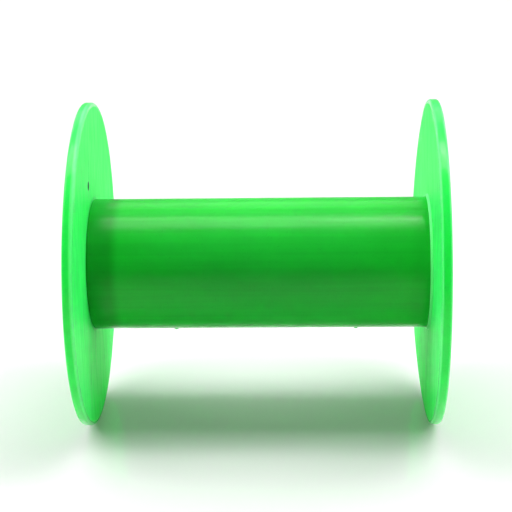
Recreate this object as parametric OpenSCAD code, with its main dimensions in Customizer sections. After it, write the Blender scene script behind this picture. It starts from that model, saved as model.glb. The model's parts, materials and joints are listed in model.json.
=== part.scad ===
// Empty spool for solder wire: two flanges plugged into a hollow barrel, with a tube through
// the middle for a spindle. The spool's axis runs along X, Z is up, and the origin is its centre.

/* [Flanges] */
// Outside diameter of each flange
flange_d = 63; // [50:0.5:80]
// Thickness of each flange disc
flange_t = 1.9; // [1.5:0.1:3]
// Radius on both edges of the rim
rim_round = 0.55; // [0.3:0.05:0.7]
// Depth of the shallow ring recess in the outer face
recess_d = 0.5; // [0.2:0.1:0.7]
// Width of the raised land left around the rim
rim_land = 3; // [2:0.5:5]
// Width of the raised land left around the hub recess
hub_land = 4.5; // [2:0.5:6]

/* [Barrel] */
// Outside diameter of the barrel
barrel_d = 25.4; // [24:0.1:30]
// Wall of the barrel
barrel_wall = 1.8; // [1.2:0.1:2]
// Clear width between the flanges, where the wire is wound
winding_w = 65; // [40:1:90]

/* [Plugs] */
// Wall of the plug that each flange pushes into the barrel
plug_wall = 1.5; // [1.2:0.1:1.6]
// How far each plug reaches into the barrel
plug_len = 5; // [4:0.5:10]
// Thickness of the web that closes each plug
web_t = 1.5; // [1:0.1:2]
// Number of ribs in each hub recess
rib_n = 6; // [3:1:8]
// Thickness of a rib
rib_t = 1.2; // [0.8:0.1:1.4]

/* [Spindle tube] */
// Bore for the spindle
bore_d = 11; // [10:0.1:11.4]
// Wall of the spindle tube
tube_wall = 1.5; // [1.2:0.1:1.6]

/* [Wire start] */
// Diameter of the hole that the start of the wire is pushed through
start_hole_d = 1.4; // [1:0.1:2]
// Distance of the start hole from the axis
start_hole_r = 17.2; // [16.5:0.1:20]
// Direction of the start hole, in degrees up from the front
start_hole_angle = 78; // [0:1:180]

/* [Hidden] */
$fn = 96;
cut = 1;
flange_r = flange_d / 2;
barrel_r = barrel_d / 2;
half_w = winding_w / 2;
half_total = half_w + flange_t;
plug_r = barrel_r - barrel_wall;
plug_inner_r = plug_r - plug_wall;
tube_r = bore_d / 2 + tube_wall;
lead_in = 0.6;
end_chamfer = 0.25;
tube_setback = 0.3;
collar_w = 0.45;
collar_proud = 0.4;
gate_r = 0.45;
gate_proud = 0.3;
gate_angle = -72;
gate_xs = [-16.6, 18.5];
spool_green = [0.16, 0.86, 0.30];
barrel_green = [0.10, 0.62, 0.20];
tube_green = [0.12, 0.70, 0.24];

// Turns a shape built up along Z so that it runs along X, starting at x.
module along_x(x) translate([x, 0, 0]) rotate([0, 90, 0]) children();

// Moves a shape to a point at radius r, a degrees up from the front, keeping its X place.
module at_angle(r, a) translate([0, -r * cos(a), r * sin(a)]) children();

// Section of a flange disc: inner radius, outer radius and thickness, with a rounded rim.
module disc_section(inner_r, outer_r, t, e) {
    translate([inner_r, 0]) square([outer_r - e - inner_r, t]);
    translate([outer_r - 2 * e, e]) square([2 * e, t - 2 * e]);
    for (y = [e, t - e]) translate([outer_r - e, y]) circle(r = e);
}

// Section of the plug behind the disc, with a chamfer that leads it into the barrel.
module plug_section() {
    polygon([
        [plug_inner_r, 0], [plug_r, 0], [plug_r, flange_t + plug_len - lead_in],
        [plug_r - lead_in, flange_t + plug_len], [plug_inner_r, flange_t + plug_len]
    ]);
    translate([tube_r, flange_t + plug_len - web_t]) square([plug_inner_r - tube_r + 0.2, web_t]);
}

// Section of the ring recess in the outer face, with sloping sides.
module recess_section() {
    inner = plug_inner_r + hub_land;
    outer = flange_r - rim_land;
    polygon([
        [inner - cut, -cut], [outer + cut, -cut], [outer - recess_d, recess_d], [inner + recess_d, recess_d]
    ]);
}

// One rib of the hub recess, from the spindle tube to the plug's wall.
module hub_rib() {
    rib_start = tube_r - 0.5;
    translate([rib_start, -rib_t / 2, 0.4])
        cube([plug_inner_r - rib_start + 0.5, rib_t, flange_t + plug_len - web_t]);
}

// A flange with its outer face at z = 0 and its plug pointing up along Z.
module flange_body() {
    difference() {
        union() {
            rotate_extrude() disc_section(plug_inner_r, flange_r, flange_t, rim_round);
            rotate_extrude() plug_section();
            for (i = [0:rib_n - 1]) rotate(i * 360 / rib_n) hub_rib();
        }
        translate([0, 0, -cut]) cylinder(r = tube_r, h = flange_t + plug_len + 2 * cut);
        rotate_extrude() recess_section();
    }
}

// One gate mark: a short stub standing on the barrel's skin, pointing up along Z.
module gate_mark() translate([0, 0, barrel_r - 0.5]) cylinder(r = gate_r, h = 0.5 + gate_proud);

// The drum that the wire is wound on, with two small gate marks underneath.
module barrel() color(barrel_green) {
    union() {
        along_x(-half_w) rotate_extrude() polygon([
            [plug_r, 0], [barrel_r - end_chamfer, 0], [barrel_r, end_chamfer],
            [barrel_r, winding_w - end_chamfer], [barrel_r - end_chamfer, winding_w], [plug_r, winding_w]
        ]);
        for (x = gate_xs) translate([x, 0, 0]) rotate([90 - gate_angle, 0, 0]) gate_mark();
    }
}

// Left flange, with the hole that the start of the wire goes through.
module left_flange() color(spool_green) {
    difference() {
        along_x(-half_total) flange_body();
        at_angle(start_hole_r, start_hole_angle) along_x(-half_total - cut)
            cylinder(d = start_hole_d, h = flange_t + 2 * cut);
    }
}

// Right flange, with a fine collar round the barrel's end.
module right_flange() color(spool_green) {
    mirror([1, 0, 0]) along_x(-half_total) union() {
        flange_body();
        rotate_extrude() polygon([
            [barrel_r, flange_t - 0.2], [barrel_r + collar_proud, flange_t - 0.2],
            [barrel_r + collar_proud, flange_t], [barrel_r + collar_proud / 2, flange_t + collar_w],
            [barrel_r, flange_t + collar_w]
        ]);
    }
}

// The tube that a spindle runs in, held in both hub webs.
module arbor_tube() color(tube_green) {
    tube_half = half_total - tube_setback;
    along_x(-tube_half) difference() {
        cylinder(r = tube_r, h = 2 * tube_half);
        translate([0, 0, -cut]) cylinder(d = bore_d, h = 2 * tube_half + 2 * cut);
    }
}

barrel();
left_flange();
right_flange();
arbor_tube();
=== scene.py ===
"""Looks of an empty solder wire spool: green translucent flanges, barrel and spindle tube."""

import json
import math
import random

import bmesh
import bpy
from mathutils import Matrix, Vector


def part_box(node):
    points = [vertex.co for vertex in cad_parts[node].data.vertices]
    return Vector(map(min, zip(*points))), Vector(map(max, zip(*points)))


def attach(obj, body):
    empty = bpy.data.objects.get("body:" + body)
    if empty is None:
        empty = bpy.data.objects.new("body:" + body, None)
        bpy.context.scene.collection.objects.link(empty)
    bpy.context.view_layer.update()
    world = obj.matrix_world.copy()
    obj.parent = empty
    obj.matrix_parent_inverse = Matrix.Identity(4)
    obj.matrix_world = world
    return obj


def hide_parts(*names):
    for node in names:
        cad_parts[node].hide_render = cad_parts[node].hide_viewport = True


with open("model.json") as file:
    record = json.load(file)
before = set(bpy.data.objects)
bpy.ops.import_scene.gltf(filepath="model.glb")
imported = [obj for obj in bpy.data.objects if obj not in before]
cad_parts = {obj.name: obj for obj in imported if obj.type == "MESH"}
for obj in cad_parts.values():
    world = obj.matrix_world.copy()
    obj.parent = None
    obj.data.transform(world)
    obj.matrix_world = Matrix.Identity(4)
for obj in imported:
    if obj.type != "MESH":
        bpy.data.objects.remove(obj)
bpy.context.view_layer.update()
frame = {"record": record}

MM = 0.001

# Faces round a full turn, and the longest face along a section.
SEGMENTS = 288
STEP = 1.5 * MM

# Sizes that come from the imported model.
barrel_low, barrel_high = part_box("barrel")
flange_low, flange_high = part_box("left_flange")
tube_low, tube_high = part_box("arbor_tube")
HALF_WIDTH = barrel_high[0]
HALF_TOTAL = -flange_low[0]
BARREL_R = barrel_high[2]
FLANGE_R = flange_high[2]
FLANGE_T = HALF_TOTAL - HALF_WIDTH
PLUG_LEN = HALF_WIDTH + flange_high[0]
TUBE_R = tube_high[2]
TUBE_HALF = tube_high[0]
BORE_R = frame["record"]["mounts"][0]["dims"]["r_mm"] * MM

# Sizes of details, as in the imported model.
BARREL_WALL = 1.8 * MM
PLUG_WALL = 1.5 * MM
WEB_T = 1.5 * MM
RIM_ROUND = 0.55 * MM
RECESS = 0.5 * MM
RIM_LAND = 3.0 * MM
HUB_LAND = 4.5 * MM
RIB_T = 1.2 * MM
RIB_COUNT = 6
COLLAR_W = 0.45 * MM
COLLAR_PROUD = 0.4 * MM
HOLE_R = 0.7 * MM
HOLE_AT = 17.2 * MM
HOLE_ANGLE = 78
GATE_R = 0.45 * MM
GATE_PROUD = 0.3 * MM
GATE_ANGLE = -72
GATE_XS = (-16.6 * MM, 18.5 * MM)

# The clearance between two pieces, and the radius that a flange is flat up to.
GAP = 0.02 * MM
WARP_FROM = 14 * MM

# Weld lines: side, the share of the flange's radius and the angle at each end, width and depth.
WELD_LINES = (
    (1, (0.42, -68), (0.864, -88), 0.5 * MM, 0.12 * MM),
    (-1, (0.49, 73.5), (0.95, 91), 0.5 * MM, 0.08 * MM),
    (-1, (0.41, -70), (0.56, -72), 0.3 * MM, 0.1 * MM),
    (-1, (0.65, -54), (0.76, -56), 0.3 * MM, 0.1 * MM),
)

# Sizes worked out from the ones above.
PLUG_R = BARREL_R - BARREL_WALL
PLUG_INNER_R = PLUG_R - PLUG_WALL
FLANGE_MID = HALF_WIDTH + FLANGE_T / 2


# ---------------------------------------------------------------- camera

def make_camera():
    """A long lens, a little above the spool and a little to its right."""
    data = bpy.data.cameras.new("camera")
    data.sensor_width = 36
    data.lens = 103.9
    camera = bpy.data.objects.new("camera", data)
    turn = Matrix.Rotation(math.radians(2.02), 4, "Z")
    tilt = Matrix.Rotation(math.radians(90 - 18.3), 4, "X")
    roll = Matrix.Rotation(math.radians(-1.03), 4, "Z")
    place = Matrix.Translation((0.278 * FLANGE_R, -8.694 * FLANGE_R, 2.921 * FLANGE_R))
    camera.matrix_world = place @ turn @ tilt @ roll
    bpy.context.scene.collection.objects.link(camera)
    bpy.context.scene.camera = camera


# ---------------------------------------------------------------- meshes

def filleted(corners, steps=6):
    """Rounds each corner of a closed outline. A corner is (radius, x, fillet)."""
    points = []
    count = len(corners)
    for i, (r, x, fillet) in enumerate(corners):
        here = Vector((r, x))
        if fillet <= 0:
            points.append(here)
            continue
        back = (Vector(corners[i - 1][:2]) - here).normalized()
        ahead = (Vector(corners[(i + 1) % count][:2]) - here).normalized()
        half = back.angle(ahead) / 2
        centre = here + (back + ahead).normalized() * fillet / math.sin(half)
        start = here + back * fillet / math.tan(half) - centre
        end = here + ahead * fillet / math.tan(half) - centre
        sweep = math.atan2(start.x * end.y - start.y * end.x, start.dot(end))
        for k in range(steps + 1):
            turn = Matrix.Rotation(sweep * k / steps, 2)
            points.append(centre + turn @ start)
    return points


def refined(points, step=STEP):
    """Adds points along the long straight stretches of a closed outline."""
    out = []
    for i, here in enumerate(points):
        ahead = points[(i + 1) % len(points)]
        parts = max(1, math.ceil((ahead - here).length / step))
        out += [here.lerp(ahead, k / parts) for k in range(parts)]
    return out


def lathe(name, outline, segments=SEGMENTS):
    """Turns a closed outline of (radius, x) points about the X axis."""
    bm = bmesh.new()
    rings = []
    for i in range(segments):
        a = 2 * math.pi * i / segments
        rings.append([bm.verts.new((p.y, -p.x * math.cos(a), p.x * math.sin(a))) for p in outline])
    for i, ring in enumerate(rings):
        after = rings[(i + 1) % segments]
        for j in range(len(outline)):
            k = (j + 1) % len(outline)
            bm.faces.new((ring[j], ring[k], after[k], after[j]))
    bmesh.ops.recalc_face_normals(bm, faces=bm.faces)
    return mesh_object(name, bm)


def mesh_object(name, bm):
    """Makes an object of a bmesh and frees the bmesh."""
    mesh = bpy.data.meshes.new(name)
    bm.to_mesh(mesh)
    bm.free()
    piece = bpy.data.objects.new(name, mesh)
    bpy.context.scene.collection.objects.link(piece)
    return piece


def boolean(piece, tool, operation):
    """Joins a tool to a piece or cuts it out of it, and deletes the tool."""
    modifier = piece.modifiers.new("cut", "BOOLEAN")
    modifier.operation = operation
    modifier.solver = "EXACT"
    modifier.object = tool
    graph = bpy.context.evaluated_depsgraph_get()
    mesh = bpy.data.meshes.new_from_object(piece.evaluated_get(graph))
    piece.modifiers.clear()
    piece.data = mesh
    mesh.name = piece.name
    bpy.data.objects.remove(tool)


def smooth(piece, angle=35):
    """Shades a piece smooth, except across edges sharper than the angle."""
    mesh = piece.data
    mesh.polygons.foreach_set("use_smooth", [True] * len(mesh.polygons))
    mesh.set_sharp_from_angle(angle=math.radians(angle))
    mesh.update()


def rounded_box(name, low, high, radius):
    """A box with rounded edges between two corners."""
    bm = bmesh.new()
    bmesh.ops.create_cube(bm, size=1)
    low, high = Vector(low), Vector(high)
    for vert in bm.verts:
        vert.co = Vector(l + (c + 0.5) * (h - l) for l, c, h in zip(low, vert.co, high))
    bmesh.ops.bevel(bm, geom=bm.edges[:], offset=radius, segments=3, profile=0.5, affect="EDGES")
    return mesh_object(name, bm)


# ---------------------------------------------------------------- pieces

def flange_outline(collar):
    """Section of a flange as (radius, depth from its outer face, fillet) corners."""
    hub_edge = PLUG_INNER_R + HUB_LAND
    rim_edge = FLANGE_R - RIM_LAND
    plug_end = FLANGE_T + PLUG_LEN
    web_face = plug_end - WEB_T
    edge = 0.2 * MM
    corners = [
        (TUBE_R + GAP, web_face, edge), (PLUG_INNER_R, web_face, 2 * edge), (PLUG_INNER_R, 0, edge),
        (hub_edge, 0, edge), (hub_edge + RECESS, RECESS, edge), (rim_edge - RECESS, RECESS, edge),
        (rim_edge, 0, edge), (FLANGE_R, 0, RIM_ROUND), (FLANGE_R, FLANGE_T, RIM_ROUND),
    ]
    if collar:
        collar_r = BARREL_R + COLLAR_PROUD
        collar_end = FLANGE_T + COLLAR_W
        corners += [
            (collar_r, FLANGE_T, 0.1 * MM), (collar_r, collar_end, 0.18 * MM),
            (BARREL_R + GAP, collar_end, 0.1 * MM), (BARREL_R + GAP, FLANGE_T, 0),
        ]
    corners += [
        (PLUG_R - GAP, FLANGE_T, 0.1 * MM), (PLUG_R - GAP, plug_end - 3 * edge, edge),
        (PLUG_R - 3 * edge, plug_end, edge), (TUBE_R + GAP, plug_end, edge),
    ]
    return corners


def build_flange(name, side, collar):
    """A flange. side is -1 for the left one and 1 for the right one."""
    corners = [(r, side * (HALF_TOTAL - depth), f) for r, depth, f in flange_outline(collar)]
    piece = lathe(name, refined(filleted(corners)))
    for i in range(RIB_COUNT):
        outer = side * (HALF_TOTAL - 0.4 * MM)
        inner = side * (HALF_WIDTH - PLUG_LEN + WEB_T / 2)
        low = (min(outer, inner), -RIB_T / 2, TUBE_R + GAP)
        high = (max(outer, inner), RIB_T / 2, PLUG_INNER_R + 0.5 * MM)
        rib = rounded_box("rib", low, high, 0.15 * MM)
        rib.data.transform(Matrix.Rotation(2 * math.pi * i / RIB_COUNT, 4, "X"))
        boolean(piece, rib, "UNION")
    return piece


def on_disc(share, angle):
    """The (y, z) at a share of the flange's radius and an angle in degrees up from the front."""
    a = math.radians(angle)
    return Vector((-share * FLANGE_R * math.cos(a), share * FLANGE_R * math.sin(a)))


def cut_weld_line(piece, side, start, end, width, depth):
    """Cuts a fine curved groove that fades out at both ends, where two flows of plastic met."""
    face = side * HALF_WIDTH
    along = end - start
    across = Vector((-along.y, along.x)).normalized() * width / 2
    steps = 14
    bm = bmesh.new()
    rings = []
    for i in range(steps + 1):
        t = (i + 0.5) / (steps + 1)
        share = math.sin(math.pi * t) ** 0.5
        mid = start + along * t + across * 0.8 * math.sin(2 * math.pi * t)
        low, high = mid - across * share, mid + across * share
        open_x, deep_x = face - side * depth, face + side * depth * share
        points = [(open_x, low.x, low.y), (deep_x, mid.x, mid.y), (open_x, high.x, high.y)]
        rings.append([bm.verts.new(p) for p in points])
    for ring, after in zip(rings, rings[1:]):
        for j in range(3):
            k = (j + 1) % 3
            bm.faces.new((ring[j], ring[k], after[k], after[j]))
    bm.faces.new(rings[0])
    bm.faces.new(rings[-1])
    bmesh.ops.recalc_face_normals(bm, faces=bm.faces)
    boolean(piece, mesh_object("weld_line", bm), "DIFFERENCE")


def warp(piece, side, amount, angle, spread):
    """Bends the rim inwards, most at the angle and nothing past the spread from it."""
    middle = math.radians(angle)
    reach = math.radians(spread)
    for vert in piece.data.vertices:
        share = (math.hypot(vert.co.y, vert.co.z) - WARP_FROM) / (FLANGE_R - WARP_FROM)
        turn = math.atan2(vert.co.z, -vert.co.y) - middle
        turn = abs(math.atan2(math.sin(turn), math.cos(turn)))
        if share > 0 and turn < reach:
            vert.co.x -= side * amount * share**1.6 * math.cos(turn / reach * math.pi / 2) ** 2


def cut_start_hole(piece):
    """Cuts the flared hole for the start of the wire through the left flange."""
    flare = 0.25 * MM
    face = -HALF_TOTAL + RECESS
    over = 0.2 * MM
    corners = [
        (0.0, face - over, 0), (HOLE_R + 2 * flare, face - over, 0), (HOLE_R + 2 * flare, face, 0),
        (HOLE_R, face, flare), (HOLE_R, -HALF_WIDTH, flare), (HOLE_R + 2 * flare, -HALF_WIDTH, 0),
        (HOLE_R + 2 * flare, -HALF_WIDTH + over, 0), (0.0, -HALF_WIDTH + over, 0),
    ]
    cutter = lathe("cutter", filleted(corners), 48)
    a = math.radians(HOLE_ANGLE)
    cutter.data.transform(Matrix.Translation((0, -HOLE_AT * math.cos(a), HOLE_AT * math.sin(a))))
    boolean(piece, cutter, "DIFFERENCE")


def gate_stub(x):
    """The torn stub that is left where the plastic was let into the mould."""
    sides = 9
    bm = bmesh.new()
    rings = []
    for height, flare, torn in ((-0.3 * MM, 1.15, 0), (0.05 * MM, 1, 0), (GATE_PROUD, 0.75, 1)):
        ring = []
        for i in range(sides):
            a = 2 * math.pi * i / sides
            r = flare * GATE_R * random.uniform(0.8, 1)
            drop = torn * 0.8 * GATE_PROUD * random.random()
            ring.append(bm.verts.new((r * math.cos(a), r * math.sin(a), BARREL_R + height - drop)))
        rings.append(ring)
    tip = bm.verts.new((0, 0, BARREL_R + 0.1 * MM))
    for j in range(sides):
        k = (j + 1) % sides
        for ring, after in zip(rings, rings[1:]):
            bm.faces.new((ring[j], ring[k], after[k], after[j]))
        bm.faces.new((rings[-1][j], rings[-1][k], tip))
    bm.faces.new(rings[0])
    bmesh.ops.recalc_face_normals(bm, faces=bm.faces)
    stub = mesh_object("gate", bm)
    stub.data.transform(Matrix.Rotation(math.radians(90 - GATE_ANGLE), 4, "X"))
    stub.data.transform(Matrix.Translation((x, 0, 0)))
    return stub


def build_barrel():
    """The drum, with two torn gate marks underneath."""
    end = HALF_WIDTH - GAP
    corners = [
        (PLUG_R, -end, 0.1 * MM), (PLUG_R, end, 0.1 * MM),
        (BARREL_R, end, 0.25 * MM), (BARREL_R, -end, 0.25 * MM),
    ]
    piece = lathe("barrel_drum", refined(filleted(corners)))
    for x in GATE_XS:
        boolean(piece, gate_stub(x), "UNION")
    return piece


def build_tube():
    """The tube that the spindle runs in."""
    corners = [
        (BORE_R, -TUBE_HALF, 0.3 * MM), (BORE_R, TUBE_HALF, 0.3 * MM),
        (TUBE_R, TUBE_HALF, 0.2 * MM), (TUBE_R, -TUBE_HALF, 0.2 * MM),
    ]
    return lathe("spindle_tube", refined(filleted(corners)), 160)


# ---------------------------------------------------------------- materials

class Nodes:
    """Short calls for building a material. A value is a number, a tuple or another node's socket."""

    def __init__(self, tree):
        self.tree = tree
        coordinates = tree.nodes.new("ShaderNodeTexCoord")
        self.point = self.vector("SCALE", coordinates.outputs["Object"], scale=1 / MM).outputs[0]

    def put(self, socket, value):
        """Links or sets a socket."""
        if isinstance(value, bpy.types.NodeSocket):
            self.tree.links.new(value, socket)
        else:
            socket.default_value = value

    def vector(self, operation, first, second=None, scale=None):
        """A vector operation. Its node is returned, for its vector and its value outputs."""
        node = self.tree.nodes.new("ShaderNodeVectorMath")
        node.operation = operation
        self.put(node.inputs[0], first)
        if second is not None:
            self.put(node.inputs[1], second)
        if scale is not None:
            self.put(node.inputs["Scale"], scale)
        return node

    def math(self, operation, first, second):
        """An operation on two values."""
        node = self.tree.nodes.new("ShaderNodeMath")
        node.operation = operation
        self.put(node.inputs[0], first)
        self.put(node.inputs[1], second)
        return node.outputs[0]

    def product(self, *values):
        """All the values multiplied together."""
        result = values[0]
        for value in values[1:]:
            result = self.math("MULTIPLY", result, value)
        return result

    def ramp(self, value, low, high, start, end):
        """Goes smoothly from start to end as the value goes from low to high."""
        node = self.tree.nodes.new("ShaderNodeMapRange")
        node.interpolation_type = "SMOOTHSTEP"
        names = ("Value", "From Min", "From Max", "To Min", "To Max")
        for name, item in zip(names, (value, low, high, start, end)):
            self.put(node.inputs[name], item)
        return node.outputs[0]

    def noise(self, grain, detail=2.0):
        """Noise whose grain is so many mm long on each axis, around a value of 0.5."""
        node = self.tree.nodes.new("ShaderNodeTexNoise")
        node.inputs["Scale"].default_value = 1
        node.inputs["Detail"].default_value = detail
        place = self.vector("DIVIDE", self.point, grain).outputs[0]
        self.put(node.inputs["Vector"], place)
        return node.outputs["Fac"]

    def axis(self, name):
        """The place along X, Y or Z in mm."""
        node = self.tree.nodes.new("ShaderNodeSeparateXYZ")
        self.put(node.inputs[0], self.point)
        return node.outputs[name]

    def radius(self, y=0.0, z=0.0):
        """The distance in mm from a line along X through y and z."""
        flat = self.vector("MULTIPLY", self.point, (0, 1, 1)).outputs[0]
        return self.vector("DISTANCE", flat, (0, y, z)).outputs["Value"]

    def blend(self, share, first, second):
        """Goes from the first colour to the second as the share goes from 0 to 1."""
        node = self.tree.nodes.new("ShaderNodeMix")
        node.data_type = "RGBA"
        self.put(node.inputs[0], share)
        self.put(node.inputs[6], first)
        self.put(node.inputs[7], second)
        return node.outputs[2]

    def from_line(self, start, end):
        """The distance in mm from a straight line between two (y, z) places."""
        flat = self.vector("MULTIPLY", self.point, (0, 1, 1)).outputs[0]
        from_start = self.vector("SUBTRACT", flat, (0, *(start / MM))).outputs[0]
        along = Vector((0, *((end - start) / MM)))
        share = self.vector("DOT_PRODUCT", from_start, along / along.length_squared).outputs["Value"]
        share = self.math("MAXIMUM", self.math("MINIMUM", share, 1), 0)
        foot = self.vector("SCALE", along, scale=share).outputs[0]
        return self.vector("DISTANCE", from_start, foot).outputs["Value"]

    def shade(self, tone, colour, share=0.0, other=(0, 0, 0)):
        """The colour darkened by a tone of less than 1, with a share of another colour laid over."""
        dark = self.blend(tone, (0, 0, 0, 1), (*colour, 1))
        return self.blend(share, dark, (*other, 1))

    def bump(self, height, distance, under=None):
        """A relief of a height in mm, laid over another one."""
        node = self.tree.nodes.new("ShaderNodeBump")
        node.inputs["Distance"].default_value = distance * MM
        self.put(node.inputs["Height"], height)
        if under is not None:
            self.put(node.inputs["Normal"], under)
        return node.outputs[0]


def plastic(name, depth, specular):
    """A green moulding that lets light in to a depth. Returns its material, shader and nodes."""
    material = bpy.data.materials.new(name)
    material.use_nodes = True
    shader = material.node_tree.nodes["Principled BSDF"]
    shader.inputs["IOR"].default_value = 1.5
    shader.inputs["Specular IOR Level"].default_value = specular
    shader.inputs["Subsurface Weight"].default_value = 1.0
    shader.inputs["Subsurface Radius"].default_value = (0.3, 1.0, 0.4)
    shader.inputs["Subsurface Scale"].default_value = depth
    return material, shader.inputs, Nodes(material.node_tree)


def flange_painted_shade(nodes, radius, x, depth_in):
    """The tone of the painted shade in the start hole, along the weld lines and round the barrel's left
    end.
    """
    a = math.radians(HOLE_ANGLE)
    hole = nodes.radius(-HOLE_AT / MM * math.cos(a), HOLE_AT / MM * math.sin(a))
    barrel = BARREL_R / MM
    face = HALF_WIDTH / MM
    # Painted shade: darker round the barrel's left end, and nearly black inside the start hole.
    joint = nodes.ramp(radius, barrel + 0.1, barrel + 0.7, 0.8, 1)
    painted_shade_tone = {-1: nodes.product(nodes.ramp(hole, 0.78, 1.0, 0.04, 1), joint), 1: 1.0}
    for side, start, end, *_ in WELD_LINES:
        away = nodes.from_line(on_disc(*start), on_disc(*end))
        # Painted shade along each weld-line groove on the inner face.
        line = nodes.ramp(away, 0.05, 0.3, 0.75, 1)
        painted_shade_tone[side] = nodes.product(painted_shade_tone[side], nodes.ramp(depth_in, face + 0.2, face + 0.5, line, 1))
    return nodes.ramp(x, -1, 1, painted_shade_tone[-1], painted_shade_tone[1])


def collar_mask(nodes, radius, x):
    """1 on the collar round the barrel's right end, and 0 elsewhere."""
    barrel = BARREL_R / MM
    face = HALF_WIDTH / MM
    return nodes.product(
        nodes.ramp(radius, barrel - 0.1, barrel, 0, 1),
        nodes.ramp(radius, barrel + 0.5, barrel + 0.7, 1, 0),
        nodes.ramp(x, 0, face - 1, 0, 1),
        nodes.ramp(x, face + 0.1, face + 0.3, 1, 0),
    )


def flange_material():
    """Satin faces with flow streaks and scuffs, painted shade in the start hole, weld lines, barrel joint
    and rim band, polished rims, and a painted highlight on the rim's edges and the collar.
    """
    material, shader, nodes = plastic("green_flange", 5 * MM, 0.3)
    radius = nodes.radius()
    x = nodes.axis("X")
    depth_in = nodes.math("ABSOLUTE", x, 0)
    rim = FLANGE_R / MM - 0.9
    streaks = nodes.noise((3, 1.5, 14), 3)
    tone = nodes.product(
        nodes.ramp(streaks, 0.35, 0.6, nodes.ramp(radius, rim, rim + 0.4, 0.92, 1), 1),
        nodes.ramp(nodes.noise((8, 8, 8), 3), 0.3, 0.7, 0.93, 1),
        nodes.ramp(nodes.noise((0.4, 0.4, 0.4)), 0.25, 0.45, 0.95, 1),
        # Painted shade: the rim band's colour is darkened to 0.86.
        nodes.ramp(radius, rim, rim + 0.4, 1, 0.86),
        flange_painted_shade(nodes, radius, x, depth_in),
    )
    edge = nodes.math("ABSOLUTE", nodes.math("SUBTRACT", depth_in, FLANGE_MID / MM), 0)
    # Painted highlight: both edges of the rim and the collar round the barrel are paled towards a light
    # green.
    painted_edge_highlight = nodes.product(nodes.ramp(edge, 0.5, 0.8, 0, 0.7), nodes.ramp(radius, rim + 0.1, rim + 0.5, 0, 1))
    collar = collar_mask(nodes, radius, x)
    painted_highlight = nodes.math("MAXIMUM", painted_edge_highlight, collar)
    nodes.put(shader["Subsurface Weight"], nodes.math("SUBTRACT", 1, collar))
    nodes.put(shader["Base Color"], nodes.shade(tone, (0.032, 0.945, 0.13), painted_highlight, (0.16, 1, 0.27)))

    satin = nodes.ramp(nodes.noise((2, 1.1, 7), 4), 0.3, 0.7, 0.52, 0.68)
    nodes.put(shader["Roughness"], nodes.ramp(radius, rim, rim + 0.3, satin, 0.16))

    scuffs = nodes.bump(nodes.noise((1, 0.5, 4), 3), 0.004)
    nodes.put(shader["Normal"], nodes.bump(nodes.noise((9, 9, 9)), 0.08, scuffs))
    return material


def barrel_material():
    """Glossy, with draw streaks along its length, and painted shade at both ends, where the plugs sit
    inside it.
    """
    material, shader, nodes = plastic("green_barrel", 0.8 * MM, 0.18)
    end = HALF_WIDTH / MM
    plug = PLUG_LEN / MM
    x = nodes.axis("X")
    tone = nodes.product(
        # Painted shade: darker towards the left end, down to 0.66, and a little darker towards the right
        # end.
        nodes.ramp(x, plug - end - 1, plug - end + 1.3, 0.66, 1),
        nodes.ramp(x, end - plug, end - 2, 1, 0.9),
        nodes.ramp(nodes.noise((45, 1, 1), 3), 0.35, 0.65, 0.93, 1),
        nodes.ramp(nodes.noise((11, 7, 7), 3), 0.3, 0.7, 0.94, 1),
        nodes.ramp(nodes.noise((0.35, 0.35, 0.35)), 0.25, 0.4, 0.9, 1),
    )
    nodes.put(shader["Base Color"], nodes.shade(tone, (0.0155, 0.575, 0.043)))

    streaks = nodes.noise((30, 0.3, 0.3), 4)
    nodes.put(shader["Roughness"], nodes.ramp(streaks, 0.3, 0.7, 0.16, 0.24))

    fine = nodes.bump(streaks, 0.003)
    nodes.put(shader["Normal"], nodes.bump(nodes.noise((20, 9, 9), 1), 0.05, fine))
    return material


def tube_material():
    """Glossy inside, with rings left by the spindle that it has turned on."""
    material, shader, nodes = plastic("green_tube", 1.5 * MM, 0.4)
    tone = nodes.product(
        nodes.ramp(nodes.noise((0.5, 6, 6), 3), 0.35, 0.65, 0.88, 1),
        nodes.ramp(nodes.noise((0.4, 0.4, 0.4)), 0.25, 0.4, 0.92, 1),
    )
    nodes.put(shader["Base Color"], nodes.shade(tone, (0.02, 0.8, 0.07)))

    rings = nodes.noise((0.2, 5, 5), 3)
    nodes.put(shader["Roughness"], nodes.ramp(rings, 0.3, 0.7, 0.25, 0.45))
    nodes.put(shader["Normal"], nodes.bump(rings, 0.006))
    return material


# ---------------------------------------------------------------- stage

def make_floor():
    """A glossy white table top that reaches past every view."""
    bm = bmesh.new()
    bmesh.ops.create_grid(bm, x_segments=1, y_segments=1, size=3)
    floor = mesh_object("floor", bm)
    floor.location = (0, 0, -FLANGE_R - 0.01 * MM)
    material = bpy.data.materials.new("white_acrylic")
    material.use_nodes = True
    shader = material.node_tree.nodes["Principled BSDF"]
    shader.inputs["Base Color"].default_value = (0.81, 0.81, 0.81, 1)
    shader.inputs["Roughness"].default_value = 0.05
    floor.data.materials.append(material)


def area_light(name, place, target, size, radiance):
    """A soft rectangular light of even radiance at a place, aimed at a target."""
    data = bpy.data.lights.new(name, "AREA")
    data.shape = "RECTANGLE"
    data.size, data.size_y = size
    data.energy = radiance * math.pi * size[0] * size[1]
    light = bpy.data.objects.new(name, data)
    light.visible_camera = False
    aim = (Vector(target) - Vector(place)).to_track_quat("-Z", "Y")
    light.matrix_world = Matrix.Translation(place) @ aim.to_matrix().to_4x4()
    bpy.context.scene.collection.objects.link(light)
    return light


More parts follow.
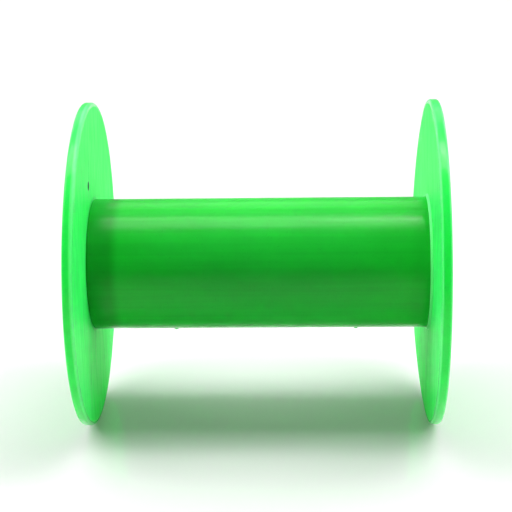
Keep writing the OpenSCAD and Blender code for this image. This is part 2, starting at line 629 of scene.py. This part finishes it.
def make_world():
    """A dim even room, which the camera sees as white."""
    world = bpy.data.worlds.new("studio")
    bpy.context.scene.world = world
    world.use_nodes = True
    nodes, links = world.node_tree.nodes, world.node_tree.links
    room = nodes["Background"]
    room.inputs["Color"].default_value = (1, 1, 1, 1)
    room.inputs["Strength"].default_value = 0.02
    seen = nodes.new("ShaderNodeBackground")
    seen.inputs["Color"].default_value = (1, 1, 1, 1)
    seen.inputs["Strength"].default_value = 1.3
    path = nodes.new("ShaderNodeLightPath")
    mix = nodes.new("ShaderNodeMixShader")
    links.new(path.outputs["Is Camera Ray"], mix.inputs[0])
    links.new(room.outputs[0], mix.inputs[1])
    links.new(seen.outputs[0], mix.inputs[2])
    links.new(mix.outputs[0], nodes["World Output"].inputs["Surface"])


# Soft boxes, aimed at the spool: name, place, size across and up its face, and radiance.
SOFT_BOXES = (
    ("over_front", (0, -0.14, 0.47), (1.1, 0.14), 0.5),
    ("over_middle", (0, 0, 0.47), (1.1, 0.14), 5.1),
    ("over_back", (0, 0.15, 0.47), (1.1, 0.16), 1.3),
    ("over_rear", (0, 0.35, 0.47), (1.1, 0.16), 0.6),
    ("over_far", (0, 0.6, 0.47), (1.4, 0.3), 1.2),
    ("back_low", (0, 0.95, 0.25), (2.2, 0.6), 0.27),
    ("left_high", (-0.6, 0, 0.42), (0.6, 0.14), 6.5),
    ("left_back", (-0.5, 0.5, 0.25), (0.3, 0.4), 1.3),
    ("right_high", (0.6, 0, 0.42), (0.6, 0.14), 5.0),
    ("right_back", (0.5, 0.5, 0.25), (0.3, 0.4), 0.9),
)
# Bare strips just under the soft boxes, aimed straight down: name, place, size in x and y, and radiance.
STRIP_HEIGHT = 0.46
STRIPS = (
    ("strip_right", (0.2, 0.07), (0.36, 0.06), 7.5),
    ("strip_back", (0, 0.1), (0.8, 0.06), 5.0),
)
# High panels with grids, which whiten the floor around: name, place, size in x and y, and radiance.
WASH_HEIGHT = 0.9
WASH_SPREAD = 70
WASHES = (
    ("wash_back", (0, 1.0), (2.4, 0.9), 2.2),
    ("wash_front", (0, -1.0), (4.0, 0.8), 3.5),
    ("wash_left", (-1.9, 0.3), (1.4, 2.4), 3.0),
    ("wash_right", (1.9, 0.3), (1.4, 2.4), 3.0),
)


def make_lights():
    """Aims the soft boxes at the spool, and the strips and the gridded panels straight down."""
    for name, place, size, radiance in SOFT_BOXES:
        area_light(name, place, (0, 0, 0), size, radiance)
    for name, (x, y), size, radiance in STRIPS:
        area_light(name, (x, y, STRIP_HEIGHT), (x, y, 0), size, radiance)
    for name, (x, y), size, radiance in WASHES:
        wash = area_light(name, (x, y, WASH_HEIGHT), (x, y, 0), size, radiance)
        wash.data.spread = math.radians(WASH_SPREAD)


# ---------------------------------------------------------------- the scene

make_camera()
bpy.context.scene.view_settings.view_transform = "Standard"
make_world()
make_floor()
make_lights()

flange_plastic = flange_material()
barrel_plastic = barrel_material()
tube_plastic = tube_material()

random.seed(7)
left = build_flange("flange_left", -1, False)
cut_start_hole(left)
right = build_flange("flange_right", 1, True)
drum = build_barrel()
tube = build_tube()

for side, start, end, width, depth in WELD_LINES:
    cut_weld_line(left if side < 0 else right, side, on_disc(*start), on_disc(*end), width, depth)
warp(left, -1, 0.45 * MM, 75, 155)
warp(right, 1, 0.95 * MM, -160, 82)

LOOKS = (
    (left, "left_flange", flange_plastic, "flange_plastic"),
    (right, "right_flange", flange_plastic, "flange_plastic"),
    (drum, "barrel", barrel_plastic, "barrel_plastic"),
    (tube, "arbor_tube", tube_plastic, "tube_plastic"),
)
for piece, node, material, slot in LOOKS:
    smooth(piece)
    piece.data.materials.clear()
    piece.data.materials.append(material)
    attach(piece, "root")
    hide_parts(node)
